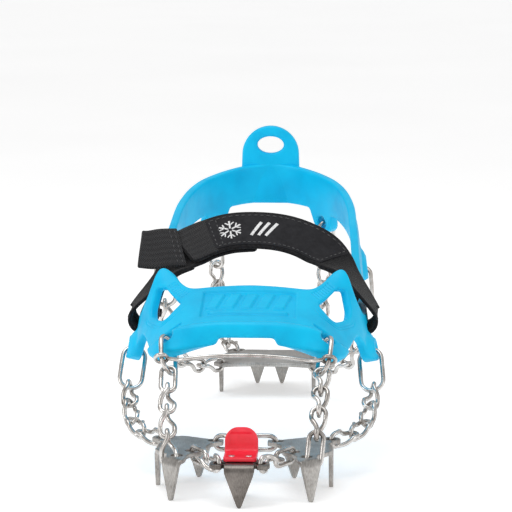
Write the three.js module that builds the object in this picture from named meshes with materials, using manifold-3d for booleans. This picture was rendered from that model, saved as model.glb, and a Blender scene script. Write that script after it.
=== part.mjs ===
// Shoe ice cleat: an elastomer harness that stretches over a shoe, with steel chains and
// spiked plates held under the sole, a wire across the toe and a two-part instep strap.
// Millimetres, +Z up. The toe points along -Y and +X is to the right seen from the toe.
// The harness keeps the shape that it has on a shoe of about 280 mm. Spike tips stand on z = 0.
import * as THREE from "three";
import { TessellateModifier } from "three/addons/modifiers/TessellateModifier.js";
import { mergeVertices } from "three/addons/utils/BufferGeometryUtils.js";
import Module from "manifold-3d";

const wasm = await Module();
wasm.setup();

// Driving dimensions.
const SPIKE_HEIGHT = 16.5; // from the plates' underside to the tips
const SPIKE_WIDTH = 12.5;
const PLATE = 2; // thickness of the steel plates
const PLATE_TOP = SPIKE_HEIGHT + PLATE;
const PLATE_MID = SPIKE_HEIGHT + PLATE / 2;
const CHAIN_HOLE = 2.6; // radius of the holes that the chains hang in
const WIRE = 1.05; // radius of the chain wire
const LINK_PITCH = 12.2; // contact to contact in a taut chain
const LINK_PLAY = 0.85; // free travel in each contact
const LINK_LENGTH = LINK_PITCH + 2 * WIRE + LINK_PLAY; // along the wire's centre line
const LINK_WIDTH = 6.3; // across, between the wire's centre lines
const HOLE_SEAT = 2; // from a plate's hole to the first contact of the chain that hangs in it
const RING_SEAT = 0.8; // how far above the middle of its hole a ring's wire sits
const HARNESS = 4; // thickness of the elastomer band
const LIP = 2; // what the front lip and the lugs are thicker by
const FOLD_LINE = -16.5; // where the front of the bridge folds down into its lip
const FOLD_RADIUS = 4.5;
const FOLD_ANGLE = THREE.MathUtils.degToRad(62);
const BAND_STEP = 9; // longest step along the band
const BAND_ROWS = 3; // steps across the band
const CUT_EDGE = 13; // longest edge on what is cut out of the band
const STRAP_WIDTH = 23;
const STRAP = 1.4; // thickness of one layer of webbing
const BAR_LOOP = 5.45; // inner radius of the webbing's loop round the harness bar

const MERGE = 1.37e-3; // vertices closer than this are one, and no drawn size is a multiple of it

const steel = new THREE.MeshStandardMaterial({ color: 0xb9b6b0, roughness: 0.28, metalness: 1 });
const plateSteel = new THREE.MeshStandardMaterial({ color: 0x8d8b86, roughness: 0.42, metalness: 1 });
const blueElastomer = new THREE.MeshStandardMaterial({ color: 0x16a5ee, roughness: 0.45, metalness: 0 });
const redPlastic = new THREE.MeshStandardMaterial({ color: 0xf23144, roughness: 0.4, metalness: 0 });
const blackWebbing = new THREE.MeshStandardMaterial({ color: 0x1c1b1d, roughness: 0.9, metalness: 0 });
const blackPatch = new THREE.MeshStandardMaterial({ color: 0x232326, roughness: 0.7, metalness: 0 });

const assembly = new THREE.Group();
assembly.name = "ice_cleat";
const v3 = (x, y, z) => new THREE.Vector3(x, y, z);

function addMesh(name, geometry, material) {
  const mesh = new THREE.Mesh(geometry, material);
  mesh.name = name;
  assembly.add(mesh);
  return mesh;
}

// Booleans.
function solidOf(geometry) {
  const bare = new THREE.BufferGeometry();
  const source = geometry.index ? geometry.toNonIndexed() : geometry;
  bare.setAttribute("position", source.getAttribute("position").clone());
  const merged = mergeVertices(bare, MERGE);
  return new wasm.Manifold(
    new wasm.Mesh({
      numProp: 3,
      vertProperties: merged.attributes.position.array,
      triVerts: new Uint32Array(merged.index.array),
    }),
  );
}

function geometryOf(solid) {
  const mesh = solid.getMesh();
  const geometry = new THREE.BufferGeometry();
  geometry.setAttribute("position", new THREE.BufferAttribute(mesh.vertProperties, 3));
  geometry.setIndex(new THREE.BufferAttribute(mesh.triVerts, 1));
  return geometry;
}

function joined(geometries) {
  return geometryOf(geometries.map(solidOf).reduce((a, b) => a.add(b)));
}

function mirrored(geometry) {
  const copy = geometry.index ? geometry.toNonIndexed() : geometry.clone();
  copy.applyMatrix4(new THREE.Matrix4().makeScale(-1, 1, 1));
  const p = copy.getAttribute("position");
  for (let i = 0; i < p.count; i += 3) {
    const [x, y, z] = [p.getX(i), p.getY(i), p.getZ(i)];
    p.setXYZ(i, p.getX(i + 1), p.getY(i + 1), p.getZ(i + 1));
    p.setXYZ(i + 1, x, y, z);
  }
  return copy;
}

// Harness ----------------------------------------------------------------------------------
// The band is drawn flat, as girth u from the middle of the bridge and height h across it,
// and laid on a ruled surface: a centre line round the shoe with the band's own up direction.
const STATIONS = [
  { at: v3(0, -68, 76.2), up: v3(0, 0.93, 0.37) },
  { at: v3(18, -68, 75.6), up: v3(-0.01, 0.93, 0.37) },
  { at: v3(33, -66.5, 72.5), up: v3(-0.06, 0.9, 0.43) },
  { at: v3(43, -60, 67.5), up: v3(-0.08, 0.72, 0.69) },
  { at: v3(50, -50, 62), up: v3(-0.14, 0.42, 0.9) },
  { at: v3(53.5, -39, 58), up: v3(-0.2, 0.08, 0.98) },
  { at: v3(54, -23, 58), up: v3(-0.15, 0, 0.99) },
  { at: v3(52.5, 0, 62), up: v3(-0.14, 0, 0.99) },
  { at: v3(50, 35, 73), up: v3(-0.13, -0.05, 0.99) },
  { at: v3(48.5, 64, 82), up: v3(-0.12, -0.05, 0.99) },
  { at: v3(45, 98, 94), up: v3(-0.1, -0.05, 0.99) },
  { at: v3(35.5, 124, 101), up: v3(-0.05, -0.08, 0.99) },
  { at: v3(18, 143, 104.5), up: v3(-0.02, -0.1, 0.99) },
  { at: v3(0, 149, 105.5), up: v3(0, -0.1, 0.99) },
];
const girths = [0];
for (let i = 1; i < STATIONS.length; i++)
  girths.push(girths[i - 1] + STATIONS[i].at.distanceTo(STATIONS[i - 1].at));

// Catmull-Rom through the stations, mirrored past both ends so that the ring is smooth.
function station(i) {
  const last = STATIONS.length - 1;
  const flip = i < 0 || i > last;
  const s = STATIONS[i < 0 ? -i : i > last ? 2 * last - i : i];
  const girth = i < 0 ? -girths[-i] : i > last ? 2 * girths[last] - girths[2 * last - i] : girths[i];
  const turn = (v) => (flip ? v3(-v.x, v.y, v.z) : v);
  return { girth, at: turn(s.at), up: turn(s.up) };
}

function hermite(a, b, c, d, pick, t) {
  const span = c.girth - b.girth;
  const m0 = pick(c).clone().sub(pick(a)).multiplyScalar(span / (c.girth - a.girth));
  const m1 = pick(d).clone().sub(pick(b)).multiplyScalar(span / (d.girth - b.girth));
  const t2 = t * t;
  const t3 = t2 * t;
  return pick(b).clone().multiplyScalar(2 * t3 - 3 * t2 + 1)
    .addScaledVector(m0, t3 - 2 * t2 + t)
    .addScaledVector(pick(c), 3 * t2 - 2 * t3)
    .addScaledVector(m1, t3 - t2);
}

// The centre line's point, direction, up and outward normal at a girth, on either side.
function bandFrame(u) {
  const side = u < 0 ? -1 : 1;
  const s = Math.abs(u);
  let i = 0;
  while (i < girths.length - 2 && s > girths[i + 1]) i++;
  const near = [-1, 0, 1, 2].map((k) => station(i + k));
  const t = (s - near[1].girth) / (near[2].girth - near[1].girth);
  const at = hermite(...near, (q) => q.at, t);
  const up = hermite(...near, (q) => q.up, t).normalize();
  const step = 1e-3;
  const along = hermite(...near, (q) => q.at, t + step).sub(hermite(...near, (q) => q.at, t - step));
  const out = along.cross(up).normalize();
  if (side < 0) for (const v of [at, up, out]) v.x = -v.x;
  return { at, up, out };
}

// A point of the band: girth u, height h, and depth outward from its inner face. The stations
// are on the outer face.
function onBand(u, h, depth) {
  const { at, up, out } = bandFrame(u);
  const w = depth - HARNESS;
  const fold = FOLD_ANGLE * (1 - THREE.MathUtils.smoothstep(Math.abs(u), 13, 46));
  const past = FOLD_LINE - h;
  if (past <= 0 || fold <= 0) return at.addScaledVector(up, h).addScaledVector(out, w);
  const angle = Math.min(past / FOLD_RADIUS, fold);
  const straight = Math.max(0, past - FOLD_RADIUS * fold);
  const [c, s] = [Math.cos(angle), Math.sin(angle)];
  return at.addScaledVector(up, FOLD_LINE - FOLD_RADIUS * s - straight * c - w * s)
    .addScaledVector(out, -FOLD_RADIUS * (1 - c) - straight * s + w * c);
}

// The band's two edges on the right half, as girth and height, and what is cut out of it.
const HEEL = girths.at(-1);
const TOP_EDGE = [
  [0, 16.5], [20, 15.5], [28, 16.5], [35, 23], [40.5, 28], [46, 29.5], [52, 28], [57.5, 20],
  [61.5, 13], [69, 9.5], [73.5, 8.6], [100.5, 8.6], [111, 9], [148, 9.5], [178, 13], [214, 10], [250, 10],
  [HEEL, 12],
];
const BOTTOM_EDGE = [
  [0, -24.5], [12.5, -24.5], [14, -27.5], [27.5, -28.5], [31, -29], [40, -28.5], [44, -24], [47.5, -16.5],
  [53, -8], [57, -4.5], [62, -6.5], [65, -12], [68, -13.5], [79, -13.5], [82.5, -12], [88, -7],
  [111, -7.5], [148, -8], [165, -7.5], [169, -11], [172, -12.5], [180, -12.5], [183.5, -11], [188, -7.5],
  [214, -9], [243, -9], [246.5, -17], [250, -20], [256, -20], [259.5, -17], [263, -9], [HEEL, -9],
];
const DIAMOND = [
  [32, 4.5], [37.5, -3], [40.5, -4], [50.5, 2.5], [52.5, 7], [50.5, 17.5], [43.5, 18], [33, 7.5],
];
const STRAP_SLOT = [[74, -2.8], [100.5, -2.8], [100.5, 3.4], [74, 3.4]];
const RING_HOLE = 3.3;
const RING_HOLES = { corner: [35.5, -19.5], side: [73.5, -8.5], arch: [176, -7.5], heel: [253, -15] };
const BAR = [87, 6]; // middle of the bar above the strap slot

function edgeHeight(edge, u) {
  const i = Math.max(1, edge.findIndex(([at]) => at >= u));
  const [[u0, h0], [u1, h1]] = [edge[i - 1], edge[i]];
  return h0 + ((h1 - h0) * (u - u0)) / (u1 - u0);
}

// Girths of the band's columns: every corner of either edge, and no step over BAND_STEP.
function columns() {
  const corners = [...TOP_EDGE, ...BOTTOM_EDGE].map(([u]) => u).sort((a, b) => a - b);
  const half = [0];
  for (const u of corners) {
    const from = half.at(-1);
    const steps = Math.ceil((u - from) / BAND_STEP);
    if (u - from < 1.2) continue;
    for (let k = 1; k <= steps; k++) half.push(from + ((u - from) * k) / steps);
  }
  half[half.length - 1] = HEEL;
  return [...half.slice(1, -1).reverse().map((u) => -u), ...half];
}

// The lip under the bridge and the four pairs of lugs are thicker than the band.
const LUGS = [RING_HOLES.side, RING_HOLES.arch, RING_HOLES.heel];
function depthAt(u, h) {
  const a = Math.abs(u);
  const lip = a < 50 ? THREE.MathUtils.smoothstep(FOLD_LINE + 1 - h, 0, 4) : 0;
  const lugs = LUGS.map(([cu, ch]) => 1 - THREE.MathUtils.smoothstep(Math.hypot(a - cu, h - ch), 6, 10));
  return HARNESS + LIP * Math.max(lip, ...lugs);
}

// Joins sections that have the same number of points, as a closed ring or with flat ends.
function loft(sections, ring) {
  const n = sections[0].length;
  const positions = sections.flat().flatMap((p) => [p.x, p.y, p.z]);
  const faces = [];
  const runs = ring ? sections.length : sections.length - 1;
  for (let i = 0; i < runs; i++) {
    const next = (i + 1) % sections.length;
    for (let j = 0; j < n; j++) {
      const [a, b] = [i * n + j, i * n + ((j + 1) % n)];
      const [c, d] = [next * n + j, next * n + ((j + 1) % n)];
      faces.push(a, b, d, a, d, c);
    }
  }
  if (!ring) {
    const last = (sections.length - 1) * n;
    for (let j = 1; j < n - 1; j++) faces.push(0, j + 1, j, last, last + j, last + j + 1);
  }
  const geometry = new THREE.BufferGeometry();
  geometry.setAttribute("position", new THREE.Float32BufferAttribute(positions, 3));
  geometry.setIndex(faces);
  return geometry;
}

function bandSection(u) {
  const a = Math.abs(u);
  const [low, high] = [edgeHeight(BOTTOM_EDGE, a), edgeHeight(TOP_EDGE, a)];
  const rows = Array.from({ length: BAND_ROWS + 1 }, (_, j) => low + ((high - low) * j) / BAND_ROWS);
  const inner = rows.map((h) => onBand(u, h, 0));
  const outer = rows.map((h) => onBand(u, h, depthAt(u, h)));
  return [...inner, ...outer.reverse()];
}

// A prism over a flat outline, bent to follow the band, that reaches past both its faces.
function bandCutter(shape) {
  const past = 2;
  const depth = HARNESS + LIP + 2 * past;
  const flat = new THREE.ExtrudeGeometry(shape, { depth, bevelEnabled: false });
  flat.deleteAttribute("normal");
  flat.deleteAttribute("uv");
  const fine = new TessellateModifier(CUT_EDGE, 20).modify(flat);
  const p = fine.getAttribute("position");
  for (let i = 0; i < p.count; i++) {
    const q = onBand(p.getX(i), p.getY(i), p.getZ(i) - past);
    p.setXYZ(i, q.x, q.y, q.z);
  }
  return fine;
}

// The tab at the back that the harness is pulled on by, with a hole for a finger.
const HEEL_TAB = { foot: 96, footHalf: 16, half: 15, arch: 122, grip: 127, gripHalf: 7, gripRise: 4.5 };
function pullTab() {
  const { foot, footHalf, half, arch, grip: middle, gripHalf, gripRise } = HEEL_TAB;
  const tab = new THREE.Shape();
  tab.moveTo(-footHalf, foot);
  tab.lineTo(footHalf, foot);
  tab.absarc(0, arch, half, 0, Math.PI, false);
  const grip = new THREE.Path();
  grip.absellipse(0, middle, gripHalf, gripRise, 0, 2 * Math.PI);
  tab.holes.push(grip);
  const options = { depth: HARNESS + LIP, bevelEnabled: false, curveSegments: 6 };
  const solid = new THREE.ExtrudeGeometry(tab, options);
  solid.rotateX(Math.PI / 2);
  solid.translate(0, STATIONS.at(-1).at.y + LIP / 2, 0);
  return solid;
}

function harness() {
  let band = solidOf(loft(columns().map(bandSection), true));
  for (const side of [1, -1]) {
    for (const outline of [DIAMOND, STRAP_SLOT]) {
      const points = outline.map(([u, h]) => new THREE.Vector2(side * u, h));
      band = band.subtract(solidOf(bandCutter(new THREE.Shape(side > 0 ? points : points.reverse()))));
    }
    for (const [u, h] of Object.values(RING_HOLES)) {
      const circle = new THREE.Shape();
      circle.absarc(side * u, h, RING_HOLE, 0, 2 * Math.PI);
      band = band.subtract(solidOf(bandCutter(new THREE.Shape(circle.getPoints(4)))));
    }
  }
  return geometryOf(band.add(solidOf(pullTab())));
}

// Chain and rings ---------------------------------------------------------------------------
// A link's wire runs round a slot; its far half is turned by the twist about its length.
class LinkCurve extends THREE.Curve {
  constructor(length, width, twist) {
    super();
    Object.assign(this, { length, width, twist });
  }
  getPoint(t, target = v3()) {
    const r = this.width / 2;
    const flat = (this.length - this.width) / 2;
    const ring = Math.PI * r + 2 * flat;
    let s = (t % 1) * 2 * ring;
    const far = s >= ring;
    if (far) s -= ring;
    let [x, z] = [r, s - flat];
    if (s > 2 * flat) {
      const a = (s - 2 * flat) / r;
      [x, z] = [r * Math.cos(a), flat + r * Math.sin(a)];
    }
    if (far) [x, z] = [-x, -z];
    const turn = this.twist * THREE.MathUtils.smoothstep(z, -flat, flat);
    return target.set(x * Math.cos(turn), x * Math.sin(turn), z);
  }
}

// A closed wire loop from one contact point to the next. wide is across its near end.
function wireLoop({ from, to, wide, length, width, twist, radius = WIRE, segments = 16, sides = 6 }) {
  const curve = new LinkCurve(length, width, twist);
  const tube = new THREE.TubeGeometry(curve, segments, radius, sides, true);
  const along = to.clone().sub(from).normalize();
  const across = wide.clone().addScaledVector(along, -wide.dot(along)).normalize();
  const third = along.clone().cross(across);
  const place = new THREE.Matrix4().makeBasis(across, third, along);
  place.setPosition(from.clone().add(to).multiplyScalar(0.5));
  tube.applyMatrix4(place);
  return tube;
}

// Points a whole number of equal chords apart along a polyline, ends included.
function chordPoints(path, count) {
  const at = (s) => {
    for (let i = 1; i < path.length; i++) {
      const d = path[i].distanceTo(path[i - 1]);
      if (s <= d || i === path.length - 1) return path[i - 1].clone().lerp(path[i], Math.min(1, s / d));
      s -= d;
    }
  };
  const total = path.slice(1).reduce((sum, p, i) => sum + p.distanceTo(path[i]), 0);
  const walk = (chord) => {
    const found = [path[0].clone()];
    let s = 0;
    for (let k = 0; k < count; k++) {
      const start = found[k];
      let [lo, hi] = [s, total + 2 * chord];
      for (let n = 0; n < 50; n++) {
        const mid = (lo + hi) / 2;
        if (at(mid).distanceTo(start) < chord) lo = mid;
        else hi = mid;
      }
      s = lo;
      found.push(at(s));
    }
    return { found, left: total - s };
  };
  let [lo, hi] = [total / count / 2, (total / count) * 1.05];
  for (let n = 0; n < 50; n++) {
    const mid = (lo + hi) / 2;
    if (walk(mid).left > 0) lo = mid;
    else hi = mid;
  }
  return walk(lo).found;
}

// A ring in a harness hole, then links down to the sole's edge and under it to a plate.
// Everything is given on the right, and the left side is its mirror image.
const DROPS = {
  corner: {
    path: [
      v3(34, -95.2, 50.2), v3(33.5, -106, 43), v3(33, -116, 35), v3(32.2, -123, 25.5),
      v3(31.2, -126.2, 15.9),
    ],
    ringWidth: 11.8, // across the ring, between its wire's centre lines
    links: 4,
    wide: [v3(1, 0, 0), v3(1, 0, 0)],
    untwisted: { right: 4, left: 1 },
  },
  side: {
    path: [v3(56, -49, 34), v3(54, -66, 23), v3(50.5, -76, 19), v3(39, -87.3, PLATE_MID)],
    ringWidth: 10.4,
    links: 4,
    wide: [v3(0, 1, 0), v3(-0.7, 0.7, 0)],
  },
  arch: {
    path: [
      v3(50, 71, 53.5), v3(47.2, 75.5, 30), v3(43.8, 79.5, 22), v3(36, 87, 18.2), v3(23.5, 97, PLATE_MID),
    ],
    ringWidth: 10.4,
    links: 5,
    wide: [v3(0, 1, 0), v3(0.6, 0.8, 0)],
  },
  heel: {
    path: [
      v3(29, 142.5, 63), v3(27.8, 151, 38), v3(26.6, 151.5, 27), v3(24.4, 148.2, 21),
      v3(17.6, 135.5, PLATE_MID),
    ],
    ringWidth: 10.4,
    links: 5,
    wide: [v3(1, -0.6, 0), v3(1, -0.4, 0)],
  },
};

function addLink(name, from, to, wide, twist) {
  const options = { from, to, wide, twist, length: LINK_LENGTH, width: LINK_WIDTH };
  addMesh(name, wireLoop(options), steel);
}

// Where a ring lies: from the top of its wire in the hole to the bottom, its wide direction and
// its pull, with the middle line of the links that hang on it.
function dropLayout(kind, side) {
  const turn = (v) => v3(side * v.x, v.y, v.z);
  const [u, h] = RING_HOLES[kind];
  const hole = onBand(side * u, h, depthAt(u, h) / 2);
  const axis = onBand(side * u, h, 1).sub(onBand(side * u, h, 0)).normalize();
  const points = chordPoints(DROPS[kind].path.map(turn), DROPS[kind].links);
  const pull = points[0].clone().sub(hole).normalize();
  const across = axis.clone().addScaledVector(pull, -axis.dot(pull)).normalize();
  const top = hole.clone().addScaledVector(pull, -RING_SEAT);
  const bottom = points[0].clone().addScaledVector(pull, WIRE + LINK_PLAY / 2);
  return { hole, axis, points, pull, across, top, bottom };
}

function addDrop(kind, side) {
  const { links, wide, untwisted, ringWidth } = DROPS[kind];
  const { points, across, top, bottom } = dropLayout(kind, side);
  const label = `${kind}_${side > 0 ? "right" : "left"}`;
  const length = top.distanceTo(bottom);
  const shape = { from: top, to: bottom, wide: across, twist: 0, length, width: ringWidth, segments: 20 };
  addMesh(`ring_${label}`, wireLoop(shape), steel);
  // A run hangs on a link with no twist where it has to meet the hole at its other end square on.
  const straight = untwisted?.[side > 0 ? "right" : "left"];
  for (let i = 0; i < links; i++) {
    const hint = wide[0].clone().lerp(wide[1], i / (links - 1));
    hint.x *= side;
    if (straight && straight <= i) hint.cross(points[i + 1].clone().sub(points[i]));
    const twist = i + 1 === straight ? 0 : (side * -Math.PI) / 2;
    addLink(`link_${label}_${i + 1}`, points[i], points[i + 1], hint, twist);
  }
}

// Links between two plates. Both end loops stand upright, so the last link has no twist.
function addTie(label, fromHole, toHole, links) {
  const reach = toHole.clone().sub(fromHole).setLength(HOLE_SEAT);
  const points = chordPoints([fromHole.clone().add(reach), toHole.clone().sub(reach)], links);
  for (let i = 0; i < links; i++) {
    const last = i === links - 1;
    addLink(`link_${label}_${i + 1}`, points[i], points[i + 1], v3(0, 0, 1), last ? 0 : Math.PI / 2);
  }
}

// Plates ------------------------------------------------------------------------------------
const SPIKE = {
  root: PLATE_TOP - 0.4, // where the blade starts, inside the plate
  shoulder: SPIKE_HEIGHT - 1.5,
  waist: 0.92, // width at the shoulder, as a share of the width at the root
  tip: 0.9, // half width of the blunted tip
  point: 0.3,
  inset: 0.6, // share of the thickness that lies behind the plate's edge line
};

// A spike is a tapered blade bent down from a plate's edge; out is the way its face looks.
function spike(x, y, outX, outY, width = SPIKE_WIDTH) {
  const half = width / 2;
  const blade = new THREE.Shape();
  blade.moveTo(-half, SPIKE.root);
  blade.lineTo(-half * SPIKE.waist, SPIKE.shoulder);
  blade.lineTo(-SPIKE.tip, SPIKE.point);
  blade.lineTo(0, 0);
  blade.lineTo(SPIKE.tip, SPIKE.point);
  blade.lineTo(half * SPIKE.waist, SPIKE.shoulder);
  blade.lineTo(half, SPIKE.root);
  const solid = new THREE.ExtrudeGeometry(blade, { depth: PLATE, bevelEnabled: false });
  solid.translate(0, 0, -PLATE * SPIKE.inset);
  solid.rotateX(Math.PI / 2);
  solid.rotateZ(Math.atan2(outY, outX) + Math.PI / 2);
  solid.translate(x, y, 0);
  return solid;
}

function plate(outline, holes) {
  const shape = new THREE.Shape(outline.map(([x, y]) => new THREE.Vector2(x, y)));
  for (const [x, y] of holes) {
    const hole = new THREE.Path();
    hole.absarc(x, y, CHAIN_HOLE, 0, 2 * Math.PI);
    shape.holes.push(hole);
  }
  const solid = new THREE.ExtrudeGeometry(shape, { depth: PLATE, bevelEnabled: false, curveSegments: 6 });
  solid.translate(0, 0, SPIKE_HEIGHT);
  return solid;
}

const flipX = (points) => points.map(([x, y]) => [-x, y]);
const bothSides = (points) => [...points, ...flipX(points).reverse()];

const TOE_HOLE = [8.5, -140];
const SIDE_HOLES = { corner: [28, -125.8], toe: [22.5, -115.5], tie: [14.2, -94], side: [37.6, -88.7] };
const HEEL_HOLES = { arch: [21.9, 98.3], heel: [16.7, 133.7] };

function toePlate() {
  const outline = bothSides([
    [6.5, -145.4], [11.5, -144.6], [13, -141.5], [12.6, -136.6], [9, -135.2], [7.6, -132], [6.2, -121],
  ]);
  const body = plate(outline, [TOE_HOLE, ...flipX([TOE_HOLE])]);
  return joined([body, spike(0, -145, 0, -1, 13), spike(0, -121.2, 0, 1, 11)]);
}

function sidePlate() {
  const outline = [
    [16.6, -112.6], [18, -117.4], [21.6, -120.6], [24, -125], [25, -132], [26.4, -136.2], [33.6, -128.6],
    [32.4, -127.6], [32.4, -122.6], [36.4, -117.6], [38.6, -113], [38.6, -93], [42.2, -89], [41.3, -85.3],
    [36.6, -84], [31, -86], [26.5, -83.4], [15.4, -89.4], [9.8, -91.4], [9.8, -96.6], [14.4, -99.6],
    [16.6, -104],
  ];
  const body = plate(outline, Object.values(SIDE_HOLES));
  const front = spike(30.3, -132.4, 0.74, -0.67, 11);
  const outer = spike(38.4, -103.5, 1, 0);
  const rear = spike(21.2, -86.5, -0.48, 0.877);
  return joined([body, front, outer, rear]);
}

function heelPlate() {
  const outline = bothSides([
    [9, 96], [16.5, 94.8], [22.6, 92.8], [27.4, 97.6], [25.4, 104], [24.8, 119], [21.8, 126], [22.4, 134.4],
    [19.6, 138.6], [12.8, 138],
  ]);
  const body = plate(outline, [...Object.values(HEEL_HOLES), ...flipX(Object.values(HEEL_HOLES))]);
  const spikes = [spike(24.4, 112.5, 1, 0), spike(-24.4, 112.5, -1, 0)];
  for (const side of [1, -1]) spikes.push(spike(side * 6.5, 137.6, 0, 1, 11.5));
  return joined([body, ...spikes]);
}

// Red toe stop: an angle that lies on the toe plate and stands up against the shoe's toe.
const TAB = { width: 14.4, thick: 1.8, front: -139.5, back: -124, top: 31 };
function toeTab() {
  const base = PLATE_TOP + 0.3;
  const bend = 4;
  const side = new THREE.Shape();
  side.moveTo(TAB.front, base);
  side.lineTo(TAB.back - bend, base);
  side.absarc(TAB.back - bend, base + bend, bend, -Math.PI / 2, 0, false);
  side.lineTo(TAB.back, TAB.top);
  side.lineTo(TAB.back - TAB.thick, TAB.top);
  side.lineTo(TAB.back - TAB.thick, base + bend);
  side.absarc(TAB.back - bend, base + bend, bend - TAB.thick, 0, -Math.PI / 2, true);
  side.lineTo(TAB.front, base + TAB.thick);
  const solid = new THREE.ExtrudeGeometry(side, { depth: TAB.width, bevelEnabled: false, curveSegments: 4 });
  solid.rotateX(Math.PI / 2);
  solid.rotateZ(Math.PI / 2);
  solid.translate(-TAB.width / 2, 0, 0);
  return solid;
}

// Toe wire ------------------------------------------------------------------------------------
const TOE_WIRE = 0.9;
const EYE = 2.7; // radius of the eyes that go round the front wire of the corner rings
const EYE_RISE = 3.8; // from the bottom of the ring up to its eye
const TOE_BOW = [v3(0, -103, 58.4), v3(10, -103, 58.1), v3(20, -103.4, 57.4), v3(28, -102.5, 56.2)];
function toeWire() {
  const { bottom, across, pull } = dropLayout("corner", 1);
  const centre = bottom.addScaledVector(pull, -EYE_RISE).addScaledVector(across, DROPS.corner.ringWidth / 2);
  const half = [...TOE_BOW, centre.clone().add(v3(-EYE, 0, 0))];
  const path = [...half.slice(1).reverse().map((p) => v3(-p.x, p.y, p.z)), ...half];
  const section = new THREE.Shape();
  section.absarc(0, 0, TOE_WIRE, 0, 2 * Math.PI);
  const extrudePath = new THREE.CatmullRomCurve3(path);
  const options = { steps: 18, bevelEnabled: false, curveSegments: 3, extrudePath };
  const bow = new THREE.ExtrudeGeometry(section, options);
  const eyes = [1, -1].map((side) => {
    const eye = new THREE.TorusGeometry(EYE, TOE_WIRE, 6, 14);
    const face = v3(side * pull.x, pull.y, pull.z);
    eye.applyQuaternion(new THREE.Quaternion().setFromUnitVectors(v3(0, 0, 1), face));
    eye.translate(side * centre.x, centre.y, centre.z);
    return eye;
  });
  return joined([bow, ...eyes]);
}

// Instep strap ----------------------------------------------------------------------------------
// The straps' middle line over the instep, from the right side up to the crown.
const STRAP_LINE = [v3(48.5, -20.5, 77), v3(44, -17.5, 82.5), v3(38, -14, 88),
  v3(31, -10.5, 93), v3(22, -8, 97.3), v3(12, -6.6, 100), v3(0, -6, 101)];
const CROWN_LEAN = 0.85; // rise over run across the webbing on the crown
const BAR_LEAN = 0.17; // and beside the harness
const LAYER_GAP = 0.6; // between the two straps where one lies on the other
const barCentre = onBand(BAR[0], BAR[1], HARNESS / 2);
const barAxis = onBand(BAR[0] + 10, BAR[1], 0).sub(onBand(BAR[0] - 10, BAR[1], 0)).normalize();
const barUp = bandFrame(BAR[0]).out.cross(barAxis).normalize();
const barOut = barUp.clone().cross(barAxis).negate();

function strapLean(x) {
  const share = THREE.MathUtils.smoothstep(barCentre.x - Math.abs(x), 2, 22);
  return v3(0, 1, THREE.MathUtils.lerp(BAR_LEAN, CROWN_LEAN, share)).normalize();
}

function directionAt(points, i) {
  const ahead = points[Math.min(i + 1, points.length - 1)];
  return ahead.clone().sub(points[Math.max(i - 1, 0)]).normalize();
}

// A flat band of webbing along a line of points, with its width direction at each point.
function webbing(points, wides) {
  const sections = points.map((p, i) => {
    const normal = directionAt(points, i).cross(wides[i]).setLength(STRAP / 2);
    const wide = wides[i].clone().setLength(STRAP_WIDTH / 2);
    const corners = [[1, 1], [-1, 1], [-1, -1], [1, -1]];
    return corners.map(([a, b]) => p.clone().addScaledVector(wide, a).addScaledVector(normal, b));
  });
  return loft(sections, false);
}

// Webbing that leans as the instep does and is square to its own length.
function squareWebbing(points, leanAt = strapLean) {
  const line = new THREE.CatmullRomCurve3(points).getPoints((points.length - 1) * 3);
  const wides = line.map((p, i) => {
    const [lean, along] = [leanAt(p.x), directionAt(line, i)];
    return lean.addScaledVector(along, -lean.dot(along));
  });
  return webbing(line, wides);
}

// The sewn loop round the harness bar, in two overlapping halves, on the right side.
function barLoop(seam) {
  const radius = BAR_LOOP + STRAP / 2;
  const at = (degrees) => {
    const a = THREE.MathUtils.degToRad(degrees);
    return barCentre.clone().addScaledVector(barOut, radius * Math.cos(a))
      .addScaledVector(barUp, radius * Math.sin(a));
  };
  const outer = [seam, ...[30, 5, -25, -55, -92].map(at)];
  const inner = [seam, ...[176, 195, 220, 245, 270].map(at)];
  return [outer, inner].map((line) => webbing(line, line.map(() => barAxis)));
}

function strapLine(lower) {
  return STRAP_LINE.map((p, i) => {
    const normal = directionAt(STRAP_LINE, i).cross(strapLean(p.x)).normalize();
    return p.clone().addScaledVector(normal, lower);
  });
}

const UPPER_END = [v3(-12, -6.6, 100.4), v3(-22, -8, 97.8), v3(-30, -10.2, 94.6), v3(-34.5, -12.2, 92.7)];
const TAB_LINE = [v3(-36.4, -13, 93.9), v3(-42, -15.4, 93.7), v3(-49, -18.2, 93), v3(-56, -20.6, 94)];

function strapUpper() {
  const line = [...strapLine(0), ...UPPER_END];
  const seam = line[0].clone().lerp(line[1], 0.35);
  return joined([squareWebbing(line), ...barLoop(seam)]);
}

function strapLower() {
  const line = strapLine(STRAP + LAYER_GAP);
  const seam = line[0].clone().lerp(line[1], 0.35);
  return mirrored(joined([squareWebbing(line), ...barLoop(seam)]));
}

addMesh("harness", harness(), blueElastomer);
addMesh("toe_plate", toePlate(), plateSteel);
addMesh("forefoot_plate_right", sidePlate(), plateSteel);
addMesh("forefoot_plate_left", mirrored(sidePlate()), plateSteel);
addMesh("heel_plate", heelPlate(), plateSteel);
addMesh("toe_stop", toeTab(), redPlastic);
for (const kind of Object.keys(DROPS)) for (const side of [1, -1]) addDrop(kind, side);
for (const side of [1, -1]) {
  const from = v3(side * TOE_HOLE[0], TOE_HOLE[1], PLATE_MID);
  const to = v3(side * SIDE_HOLES.toe[0], SIDE_HOLES.toe[1], PLATE_MID);
  addTie(`toe_${side > 0 ? "right" : "left"}`, from, to, 2);
}
const [tieX, tieY] = SIDE_HOLES.tie;
addTie("cross", v3(-tieX, tieY, PLATE_MID), v3(tieX, tieY, PLATE_MID), 2);
addMesh("toe_wire", toeWire(), steel);
addMesh("strap_upper", strapUpper(), blackPatch);
addMesh("strap_lower", strapLower(), blackWebbing);
addMesh("strap_pull_tab", squareWebbing(TAB_LINE, () => strapLean(0)), blackWebbing);

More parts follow.
